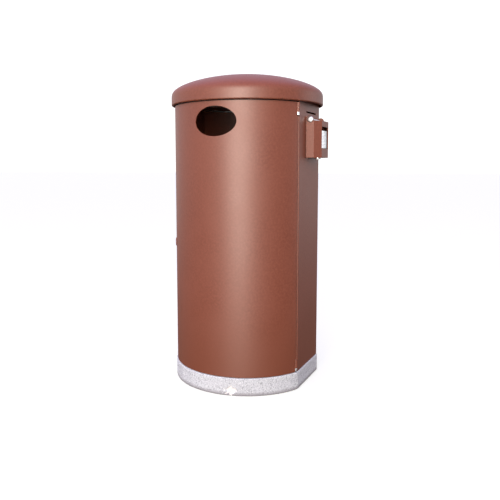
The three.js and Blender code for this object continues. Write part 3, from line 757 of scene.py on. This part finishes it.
def door_skin():
    """Plan: flange, fold, arc of radius R, fold, flange. The mouth is a patch in the middle."""
    corner = DOOR_R * np.array([math.sin(DOOR_HALF), -math.cos(DOOR_HALF)])
    flange = np.array([FLANGE_END, FLANGE_Y])
    tangent = corner - LEG * np.array([math.cos(DOOR_HALF), math.sin(DOOR_HALF)])
    fold = fillet(tangent, corner, flange, FOLD_R)
    trim = 63.9  # degrees, where the arc gives way to the fold
    mirror = np.array([-1.0, 1.0])
    sheet = Sheet(
        line(flange * mirror, fold[-1] * mirror), fold[::-1] * mirror,
        plan_arc(DOOR_R, -trim, trim), fold, line(fold[-1], flange),
    )
    middle = sheet.along[-1] / 2
    cut_arc = sheet.at(DOOR_R * math.sin(NOTCH), -DOOR_R * math.cos(NOTCH))
    cut_flange = sheet.at(HINGE_X - 5 * MM, FLANGE_Y)
    left_fold = sheet.at(*(fold[4] * mirror))
    right_fold = sheet.at(*fold[4])
    patch = 10 * MM
    reach = DOOR_R * math.asin(MOUTH[0] / DOOR_R) + patch
    columns = sheet.columns(
        6 * MM, cut_arc, cut_flange, left_fold, right_fold, middle - reach, middle + reach)
    top, low = MOUTH_Z + MOUTH[1] + patch - 3 * MM, MOUTH_Z - MOUTH[1] - patch
    barrel_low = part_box("hinge_pin_top")[0].z - 2 * MM
    barrel_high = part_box("hinge_door_leaf_bottom")[1].z + 1 * MM
    rows = np.unique(np.round(np.concatenate([
        [DOOR_BOTTOM, FOOT, barrel_high, barrel_low, DOOR_TOP],
        np.linspace(barrel_high, low, 60), np.linspace(low, top, 22)]), 6))
    oval = {
        "box": (middle - reach, middle + reach, low, top),
        "rings": 7,
        "edge": lambda p: mouth_edge(p, middle),
    }
    gone = [
        (cut_arc, cut_flange, barrel_low, DOOR_TOP), (cut_arc, cut_flange, 0, barrel_high),
        (0, left_fold, 0, FOOT), (right_fold, sheet.along[-1], 0, FOOT),
    ]
    return sheet_surface(sheet, columns, rows, gone, [oval])


def mouth_edge(points, middle):
    """Oval edge in (along, height): x = a cos t, z = b sin t, laid on the roll as R asin(x/R)."""
    offset = np.stack([points[:, 0] - middle, points[:, 1] - MOUTH_Z], 1)
    way = offset / MOUTH
    way /= np.linalg.norm(way, axis=1, keepdims=True)
    along = DOOR_R * np.arcsin(way[:, 0] * MOUTH[0] / DOOR_R)
    return np.stack([middle + along, MOUTH_Z + way[:, 1] * MOUTH[1]], 1)


door = from_arrays("door_skin", door_skin(), "door_panel", wall=SHEET_WALL, ease=CUT_EASE)
print("door faces:", len(door.data.polygons))

# %% [markdown]
# ## The fixed shell
#
# The other sheet makes both flat sides, the curved back and the two narrow lips that the door
# closes on. A long slot above the ash box lets air through.

# %% Shell
shell_low, shell_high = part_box("rear_shell")
SHELL_FLAT, SHELL_R, LIP_Y = shell_high.x, shell_high.y, shell_low.y
LIP_END = SHELL_FLAT - 18.5 * MM  # the lips are 18.5 mm wide
SLIT_Y, SLIT_Z, SLIT_HALF = (-32 * MM, 64 * MM), 838.5 * MM, 2.5 * MM


def shell_skin():
    """Plan: lip, fold, flat side, bend, arc of the back, then the same mirrored."""
    back_angle = math.degrees(math.asin(SHELL_FLAT / SHELL_R))
    lip, corner = np.array([LIP_END, LIP_Y]), np.array([SHELL_FLAT, LIP_Y])
    turn = np.array([SHELL_FLAT, math.sqrt(SHELL_R**2 - SHELL_FLAT**2)])
    after = plan_arc(SHELL_R, 180 - back_angle, 182 - back_angle)[3]  # a little way round
    fold = fillet(lip, corner, turn, FOLD_R)
    sweep = fillet(corner, turn, after, 9 * MM)
    mirror = np.array([-1.0, 1.0])
    trim = 0.6  # degrees of the arc that the bend takes up at each end
    sheet = Sheet(
        line(lip, fold[0]), fold, line(fold[-1], sweep[0]), sweep,
        plan_arc(SHELL_R, 180 - back_angle + trim, 180 + back_angle - trim),
        sweep[::-1] * mirror, line(sweep[0] * mirror, fold[-1] * mirror),
        fold[::-1] * mirror, line(fold[0] * mirror, lip * mirror),
    )
    near_end = sheet.at(SHELL_FLAT, LIP_Y + 10 * MM)
    start = near_end - sheet.path[np.argmin(np.abs(sheet.along - near_end)), 1]
    slot = (start + SLIT_Y[0] - 8 * MM, start + SLIT_Y[1] + 8 * MM)
    low, high = SLIT_Z - 10 * MM, SLIT_Z + 10 * MM
    folds = [sheet.at(*fold[4]), sheet.at(*(fold[4] * mirror))]
    columns = sheet.columns(7 * MM, *slot, *folds)
    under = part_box("door_panel")[1].z
    rows = np.unique(np.round(np.concatenate([
        [shell_low.z, FOOT, under, shell_high.z],
        np.linspace(FOOT, low, 70), np.linspace(low, high, 5), np.linspace(high, under, 3)]), 6))
    hole = {"box": (*slot, low, high), "rings": 5, "edge": lambda p: slit_edge(p, start)}
    gone = [
        (0, folds[0], 0, FOOT), (folds[1], sheet.along[-1], 0, FOOT),
        (0, folds[0], under, 1), (folds[1], sheet.along[-1], under, 1),
    ]
    return sheet_surface(sheet, columns, rows, gone, [hole])


def slit_edge(points, start):
    """Nearest point of a slot with round ends: a step of its half width from its middle line."""
    ends = (start + SLIT_Y[0] + SLIT_HALF, start + SLIT_Y[1] - SLIT_HALF)
    spine = np.stack([np.clip(points[:, 0], *ends), np.full(len(points), SLIT_Z)], 1)
    way = points - spine
    return spine + SLIT_HALF * way / np.linalg.norm(way, axis=1, keepdims=True)


shell = from_arrays("shell_skin", shell_skin(), "rear_shell", wall=SHEET_WALL, ease=CUT_EASE)
print("shell faces:", len(shell.data.polygons))

# %% [markdown]
# ## Hinges
#
# Each hinge is a barrel rolled from its own leaf, with a stainless pin dropped through it. The
# pin's head hangs below the door's barrel and shows as a small bright cap with a key socket.
# Barrels and pins are turned, and the leaves are short pieces of sheet.

# %% Hinges
HINGE = (HINGE_X, HINGE_Y, 0.0)
BORE_R, PIN_R, LEAF = 2.9 * MM, 2.5 * MM, 1.6 * MM


def extruded(outline, low, high):
    """Upright prism of a strip given by its two long edges, an array of shape (2, n, 2)."""
    n = outline.shape[1]
    ring = np.concatenate([outline[0], outline[1][::-1]])
    layer = [np.column_stack([ring, np.full(2 * n, z)]) for z in (low, high)]
    walls = grid_faces(2, 2 * n, wrap=True)
    k = np.arange(n - 1)
    caps = np.stack([k, k + 1, 2 * n - 2 - k, 2 * n - 1 - k], 1)
    return outward(np.concatenate(layer), np.concatenate([walls, caps[:, ::-1], caps + 2 * n]))


def hinge_leaf(node, outline):
    """Barrel about the hinge axis joined to a leaf of sheet with the given plan."""
    low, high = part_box(node)
    ring = rounded_ring(BORE_R, BARREL_R, low.z, high.z, 0.35 * MM)
    barrel = turned(ring, HINGE, closed=True, segments=40)
    name = node.replace("leaf", "knuckle")
    from_arrays(name, joined(barrel, extruded(outline, low.z, high.z)), node, ease=0.25 * MM)


def body_leaf_plan():
    """Flat strip that runs from the barrel's back to the shell's lip."""
    back = HINGE_Y + BARREL_R
    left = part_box("hinge_body_leaf_top")[0].x
    x = np.linspace(left, HINGE_X, 4)
    return np.stack([np.column_stack([x, np.full(4, y)]) for y in (back, back - LEAF)])


def door_leaf_plan():
    """Curved strip that follows the inside of the rolled door."""
    outer = DOOR_R - SHEET_WALL - 0.3 * MM
    return np.stack([plan_arc(r, 54.0, 63.6, step=1.0) for r in (outer, outer - LEAF)])


for end in ("top", "bottom"):
    hinge_leaf(f"hinge_body_leaf_{end}", body_leaf_plan())
    hinge_leaf(f"hinge_door_leaf_{end}", door_leaf_plan())
    node = f"hinge_pin_{end}"
    low, high = heights(node)
    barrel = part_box({"top": "hinge_door_leaf_top", "bottom": "hinge_body_leaf_bottom"}[end])[0].z
    head = barrel - 0.3 * MM - low
    pin = socket_head(BARREL_R, -head, 0, 1.7 * MM, PIN_R, low - high)
    axis_down = (0.0, 0.0, -1.0)
    from_arrays(f"pin_{end}", turned(pin, (HINGE_X, HINGE_Y, low), axis_down, 40), node, sharp=28)
print("hinges ready")

# %% [markdown]
# ## The door's lock
#
# A cam lock for a triangular service key sits a little below half height near the door's left edge. Its
# plug turns a flat cam that hooks behind the shell's lip. The face and the plug are turned
# about the lock's own axis, and the cam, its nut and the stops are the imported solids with
# their edges rounded.

# %% Lock, cam and stops
lock_joint = next(j for j in frame["joints"] if j["name"] == "door_lock_turn")
lock_angle = math.radians(-55)
LOCK_OUT = np.array([math.sin(lock_angle), -math.cos(lock_angle), 0.0])
LOCK_AT = LOCK_OUT * DOOR_R + (0.0, 0.0, lock_joint["pos_m"][2])


def lock_face():
    """Flange with a rounded rim outside the door, and the sleeve that goes through it."""
    back = -18 * MM
    profile = [
        (6.3, back / MM), (6.3, 2.0), (6.7, 2.3), (11.6, 2.3), (12.6, 1.7), (13.0, 0.9),
        (13.0, 0.4), (12.8, 0.3), (8.0, 0.3), (8.0, back / MM + 0.4), (7.6, back / MM)]
    rings = [(r * MM, h * MM) for r, h in profile]
    return turned(rings, LOCK_AT, LOCK_OUT, segments=64, closed=True)


def lock_core(at, out, radius, face, key, tail, stem, tip):
    """Plug with a triangular key socket in its face, and the stem that carries the cam."""
    profile = [
        (0, face - 6 * MM), (key, face - 6 * MM, 3), (key, face, 3), (radius - 0.4 * MM, face),
        (radius, face - 0.4 * MM), (radius, tail), (stem, tail), (stem, tip + 0.3 * MM),
        (stem - 0.3 * MM, tip), (0, tip)]
    return turned(profile, at, out, segments=48)


from_arrays("lock_face", lock_face(), "lock_housing", sharp=28)
core = lock_core(LOCK_AT, LOCK_OUT, 6 * MM, 1.8 * MM, 1.9 * MM, -20.5 * MM, 3 * MM, -29.4 * MM)
from_arrays("lock_core", core, "lock_plug", sharp=28)
from_node("lock_hook", "lock_cam", 0.5 * MM)
from_node("lock_hook_nut", "lock_cam_nut", 0.4 * MM)
for end in ("top", "bottom"):
    from_node(f"rubber_stop_{end}", f"door_bumper_{end}", 0.9 * MM)
    from_node(f"stiffener_{end}", f"door_stiffener_{end}", 0.4 * MM)
from_node("stiffener_middle", "door_stiffener_middle", 0.4 * MM)
print("lock ready")

# %% [markdown]
# ## Base, top frame and fasteners
#
# A galvanised plate is bolted to the slab, and a galvanised ring stiffens the top of the shell.
# A flat bar crosses the ring, and the lid's stud goes through it. The threads are turned as
# fine grooves, which is all of a thread that shows at this size.

# %% Base, frame and fasteners
def threaded(radius, pitch, top, tip):
    """Rings of a grooved rod from top down to tip: two per groove, crest and root."""
    heights = np.arange(top, tip + pitch, -pitch / 2)
    depth = np.where(np.arange(len(heights)) % 2, 0.55 * pitch, 0.0)
    return [(radius - d, h) for d, h in zip(depth, heights)]


from_node("base_tray", "base_plate", 0.6 * MM)
from_node("top_ring", "top_frame", 0.5 * MM)
from_node("lid_bar", "lid_crossbar", 0.7 * MM)
for i in range(1, 5):
    x, y, _ = centre(f"anchor_bolt_{i}")
    washer_low, washer_high = heights(f"anchor_washer_{i}")
    ring = rounded_ring(5.6 * MM, 10 * MM, washer_low, washer_high, 0.3 * MM)
    from_arrays(f"washer_{i}", turned(ring, (x, y, 0), closed=True), f"anchor_washer_{i}")
    tip, head_top = heights(f"anchor_bolt_{i}")
    head = hex_bolt(7.36 * MM, washer_high + 0.3 * MM, head_top, 5 * MM, tip)
    from_arrays(f"bolt_{i}", turned(head, (x, y, 0)), f"anchor_bolt_{i}", sharp=28)
bar_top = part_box("lid_crossbar")[1].z
for side in ("left", "right"):
    node = f"crossbar_bolt_{side}"
    x = centre(node)[0]
    tip, head_top = heights(node)
    head = hex_bolt(6.06 * MM, bar_top + 0.3 * MM, head_top, 4 * MM, tip)
    from_arrays(f"bar_bolt_{side}", turned(head, (x, 0, 0)), node, sharp=28)

stud_low, stud_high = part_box("lid_stud")
disc_under = stud_high.z - 3 * MM
stud = [(0, stud_high.z), (29.4 * MM, stud_high.z), (30 * MM, stud_high.z - 0.6 * MM)]
stud += [(30 * MM, disc_under), (8 * MM, disc_under), (6 * MM, disc_under - 3 * MM)]
stud += [*threaded(6 * MM, 1.75 * MM, stud_low.z + 50 * MM, stud_low.z), (0, stud_low.z)]
from_arrays("lid_screw", turned(stud, segments=56), "lid_stud", sharp=50)
nut_low, nut_high = heights("lid_stud_nut")
nut = [
    (6.3 * MM, nut_low), (8.4 * MM, nut_low), (9.09 * MM, nut_low + 0.7 * MM, 6),
    (9.09 * MM, nut_high - 0.7 * MM, 6), (8.4 * MM, nut_high), (6.3 * MM, nut_high)]
from_arrays("lid_nut", turned(nut, closed=True, segments=60), "lid_stud_nut", sharp=28)
print("base, frame and fasteners ready")

# %% [markdown]
# ## The liner
#
# Litter falls into a lift-out pail of galvanised sheet. Its wall is slightly conical, two
# rolled beads stiffen it, and the rim is rolled over a wire. Two wire handles hang from
# riveted lugs. The pail is one turned profile, and a handle is a circle carried along a path.

# %% Liner
PAIL = {"bottom": 150 * MM, "top": 156 * MM, "rim": 735 * MM, "wall": 2 * MM}
PAIL["low"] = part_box("liner_bucket")[0].z
HANDLE_X, HANDLE_Z, WIRE_R = 164 * MM, 700 * MM, 3.5 * MM


def pail_profile():
    """Wall radius from bottom to top, with a bell-shaped bead exp(-(z/w)^2) at two heights."""
    low, rim, wall = PAIL["low"], PAIL["rim"], PAIL["wall"]
    z = np.concatenate([
        low + np.array([0.0, 0.6, 1.6, 3.2]) * MM, np.linspace(low + 10 * MM, rim - 6 * MM, 130)])
    share = (z - low) / (rim - low)
    radius = PAIL["bottom"] + share * (PAIL["top"] - PAIL["bottom"])
    radius[:4] -= np.array([3.2, 1.6, 0.6, 0.0]) * MM
    for bead in (low + 70 * MM, rim - 90 * MM):
        radius += 2.2 * MM * np.exp(-(((z - bead) / (5 * MM)) ** 2))
    turn = np.linspace(-np.pi / 2, 1.45 * np.pi, 20)
    roll = 4 * MM
    rolled = [
        (PAIL["top"] + roll * math.cos(t), rim + roll * math.sin(t)) for t in turn[:16]]
    inner = [(r - wall, max(h, low + wall)) for r, h in zip(radius[::-1], z[::-1])]
    return [(0, low), *zip(radius, z), *rolled, *inner, (0, low + wall)]


def lug(side, end):
    """Riveted ear: a plate with a round lower end, made as a strip between two edges."""
    t = np.linspace(0, np.pi, 12)
    wall_x = side * (PAIL["top"] - 2 * MM)
    arc = np.stack([HANDLE_X * side + side * 8 * MM * np.sin(t), HANDLE_Z + 8 * MM * np.cos(t)], 1)
    back = np.stack([np.full(12, wall_x), HANDLE_Z + 8 * MM * np.cos(t)], 1)
    points, faces = extruded(np.stack([arc, back]), end * 52 * MM - 1.5 * MM, end * 52 * MM + 1.5 * MM)
    return outward(points[:, [0, 2, 1]], faces)


ears = [lug(side, end) for side in (-1, 1) for end in (-1, 1)]
pail = joined(turned(pail_profile(), segments=160), *ears)
from_arrays("pail", pail, "liner_bucket", sharp=50)


def tube(path, radius, side, sides=16):
    """A circle carried along a flat path: radius * (cos a * side + sin a * (tangent x side))."""
    tangent = np.gradient(path, axis=0)
    tangent /= np.linalg.norm(tangent, axis=1, keepdims=True)
    other = np.cross(tangent, side)
    a = np.linspace(0, 2 * np.pi, sides, endpoint=False)[None, :, None]
    rings = path[:, None] + radius * (np.cos(a) * side + np.sin(a) * other[:, None])
    ends = [np.broadcast_to(path[k], (1, sides, 3)) for k in (0, -1)]
    rings = np.concatenate([ends[0], rings, ends[1]])
    return outward(rings.reshape(-1, 3), grid_faces(len(rings), sides, wrap=True))


def handle_path(side, half=68 * MM, reach=35 * MM, inner=45 * MM, bend=8 * MM):
    """U of wire in the plane of its lugs: short ends through the lugs, two legs and a grip."""
    flat = [np.array(p) for p in (
        (-inner, 0.0), (-half, 0.0), (-half, -reach), (half, -reach), (half, 0.0), (inner, 0.0))]
    parts = [flat[0][None]]
    for before, corner, after in zip(flat, flat[1:], flat[2:]):
        parts.append(fillet(before, corner, after, bend, steps=8))
    plan = np.concatenate([*parts, flat[-1][None]])
    return np.column_stack([np.full(len(plan), side * HANDLE_X), plan[:, 0], plan[:, 1] + HANDLE_Z])


for side, word in ((-1, "left"), (1, "right")):
    wire = tube(handle_path(side), WIRE_R, np.array([1.0, 0.0, 0.0]))
    from_arrays(f"wire_handle_{word}", wire, f"liner_handle_{word}")
print("liner ready")

# %% [markdown]
# ## The ash box
#
# A small box of painted sheet hangs on a pivot pin between two cheeks and tips forward to be
# emptied. Its front window shows a stainless plate on which cigarettes are stubbed out. The
# gap above the plate drops the ends into a tray. The housing, plate and tray are the packed
# solids with rounded folds, and the pin's bright ends are turned.

# %% Ash box
from_node("ash_case", "ash_housing", 0.9 * MM)
from_node("ash_mount", "ash_back_plate", 0.4 * MM)
from_node("ash_drawer", "ash_tray", 0.35 * MM)
box_low, box_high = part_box("ash_housing")
pin_low, pin_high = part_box("ash_pivot_pin")
PIVOT = centre("ash_pivot_pin")
ASH_MIDDLE = (box_low.y + box_high.y) / 2


def pivot_pin():
    """Shaft with a low dome on each end; a dome's height falls off as sqrt(1 - (r/R)^2)."""
    reach, dome, head = (pin_high.y - pin_low.y) / 2, 4.0 * MM, 10.2 * MM
    t = np.linspace(0, np.pi / 2, 9)
    end = np.stack([head * np.sin(t), reach - dome + dome * np.cos(t)], 1)
    low = [(head - 0.3 * MM, reach - dome - 0.1 * MM), (3 * MM, reach - dome - 0.1 * MM)]
    half = [*end, *low]
    other = [(r, -h) for r, h in half[::-1]]
    return turned([*half, *other], PIVOT, (0, 1, 0), segments=40)


def stub_plate(rows=100, columns=130):
    """Sheet bent to a 90 mm radius, with pressed dimples 0.7 * exp(-(d/2.2 mm)^2) on a 9 mm grid."""
    low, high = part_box("ash_stub_plate")
    bulge, wall = 90 * MM, 1.5 * MM
    half = math.asin(35 * MM / bulge)
    t, z = np.meshgrid(np.linspace(-half, half, columns), np.linspace(low.z, high.z, rows))
    across = bulge * t
    pitch, size, rise = 9 * MM, 2.2 * MM, 0.7 * MM
    du = (across / pitch - np.round(across / pitch)) * pitch
    height = (z - (low.z + high.z) / 2) / pitch
    dz = (height - np.round(height)) * pitch
    margin = np.minimum(35 * MM - np.abs(across), np.minimum(z - low.z, high.z - z))
    bump = rise * np.exp(-(du**2 + dz**2) / size**2) * (margin > 5 * MM)
    sheet = []
    for r in (bulge - bump, np.full_like(t, bulge - wall)):
        x = high.x - bulge + r * np.cos(t)
        sheet.append(np.stack([x, ASH_MIDDLE + r * np.sin(t), z], -1).reshape(-1, 3))
    faces = grid_faces(rows, columns)
    count = rows * columns
    index = np.arange(count).reshape(rows, columns)
    rim = np.concatenate([index[0, :-1], index[:-1, -1], index[-1, :0:-1], index[:0:-1, 0]])
    after = np.roll(rim, -1)
    walls = np.stack([rim, after, after + count, rim + count], 1)
    surface = np.concatenate([faces, faces[:, ::-1] + count, walls[:, ::-1]])
    return outward(np.concatenate(sheet), surface)


from_arrays("pivot_bolt", pivot_pin(), "ash_pivot_pin", sharp=40)
from_arrays("stub_face", stub_plate(), "ash_stub_plate", sharp=60)
for i in range(1, 5):
    node = f"ash_mount_screw_{i}"
    low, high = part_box(node)
    at = (high.x, *centre(node)[1:])
    head = socket_head(4.5 * MM, -2.2 * MM, 0, 1.6 * MM, 2.5 * MM, low.x - high.x, depth=1.4 * MM)
    from_arrays(f"mount_screw_{i}", turned(head, at, (1, 0, 0), 32), node, sharp=28)

catch_x, catch_y, _ = centre("ash_lock_housing")
catch_low, catch_high = heights("ash_lock_housing")
flange_top = box_low.z - 0.3 * MM
catch_face = [
    (5.3 * MM, catch_high), (5.3 * MM, catch_low), (9.2 * MM, catch_low),
    (10 * MM, catch_low + 0.8 * MM), (10 * MM, flange_top), (7 * MM, flange_top),
    (7 * MM, catch_high)]
down, here = (0, 0, -1), (catch_x, catch_y, catch_low)
from_arrays("catch_face", turned(catch_face, (catch_x, catch_y, 0), closed=True),
            "ash_lock_housing", sharp=28)
core = lock_core(here, down, 5 * MM, -0.3 * MM, 1.7 * MM, -12.6 * MM, 2.5 * MM, -16.8 * MM)
from_arrays("catch_core", core, "ash_lock_plug", sharp=28)
from_node("catch_hook", "ash_lock_cam", 0.4 * MM)
print("ash box ready")

# %% [markdown]
# ## Floor and light
#
# The bin stands on a plain white floor, as in a catalogue. The light is that of a bright,
# overcast street: a pale mauve sky, a white horizon, a darker side to the right, and dark
# paving below, which leaves the underside of the lid's rim in shadow. The floor is only seen:
# it throws no light on the bin, and it glows a little so that it stays white to the horizon.
# One tall softbox is seen only in reflections and draws the broad upright highlight on the
# rolled door, and a second one lights the stub plate and the corners.

# %% Floor
def pale_floor():
    """White ground with a faint fibre."""
    material, tree, where = start_material("studio_floor_white")
    fibre = speckle(tree, where, 8 * MM, detail=3.0)
    return finish_material(material, tree, {
        "Base Color": between(tree, fibre, 0.3, 0.7, "#cfd0cc", "#d4d5d1"),
        "Roughness": 0.95,
        "Specular IOR Level": 0.1,
        "Emission Color": linear("#fbfff2"),
        "Emission Strength": 0.5,
    })


FLOOR_HALF = 60.0
floor_mesh = bpy.data.meshes.new("floor")
corners = [(x * FLOOR_HALF, y * FLOOR_HALF, 0.0) for x, y in ((-1, -1), (1, -1), (1, 1), (-1, 1))]
floor_mesh.from_pydata(corners, [], [(0, 1, 2, 3)])
floor_mesh.materials.append(pale_floor())
floor = bpy.data.objects.new("floor", floor_mesh)
floor.visible_diffuse = floor.visible_glossy = False
bpy.context.scene.collection.objects.link(floor)

# %% Lights
def softbox(name, azimuth, distance, height, size, radiance, colour, seen, aim=0.5):
    """Area light on a circle about the bin, turned to a height on the bin's axis. Its power is
    pi * area * radiance, and seen names the only kind of ray that meets it."""
    lamp = bpy.data.lights.new(name, "AREA")
    lamp.shape = "RECTANGLE"
    lamp.size, lamp.size_y = size
    lamp.energy = math.pi * size[0] * size[1] * radiance
    lamp.color = linear(colour)[:3]
    body = bpy.data.objects.new(name, lamp)
    turn = math.radians(azimuth)
    place = np.array([distance * math.sin(turn), -distance * math.cos(turn), height])
    body.location = place
    direction = Vector(np.array([0.0, 0.0, aim]) - place)
    body.rotation_euler = direction.to_track_quat("-Z", "Y").to_euler()
    body.visible_camera = False
    body.visible_diffuse = seen == "diffuse"
    body.visible_glossy = seen == "glossy"
    bpy.context.scene.collection.objects.link(body)
    return body


SKY = 1.25


def sky():
    """World light: mauve above, white at the horizon, brown paving below, dimmer towards +X."""
    world = bpy.data.worlds.new("sky")
    bpy.context.scene.world = world
    world.use_nodes = True
    tree = world.node_tree
    tree.nodes.clear()
    way = add(tree, "TexCoord").outputs["Generated"]
    height = component(tree, way, "Z")
    above = between(tree, height, 0.05, 0.8, "#ffffff", "#cfc6f4")
    colour = between(tree, height, -0.2, 0.0, "#665147", above)
    strength = value_range(tree, component(tree, way, "X"), -0.1, 0.9, SKY, 0.5 * SKY)
    light = add(tree, "Background", {"Color": colour, "Strength": strength})
    add(tree, "OutputWorld", {"Surface": light.outputs["Background"]})


sky()
softbox("key_softbox", 12.5, 3.2, 0.95, (1.4, 2.3), 21.0, "#fff2e4", "glossy")
softbox("front_fill", 17.0, 4.0, 1.9, (3.0, 3.0), 5.2, "#fff8f2", "diffuse")
softbox("side_softbox", 126.0, 4.0, 1.0, (2.0, 2.4), 1.6, "#ffffff", "glossy", 0.7)
bpy.context.scene.view_settings.view_transform = "Standard"
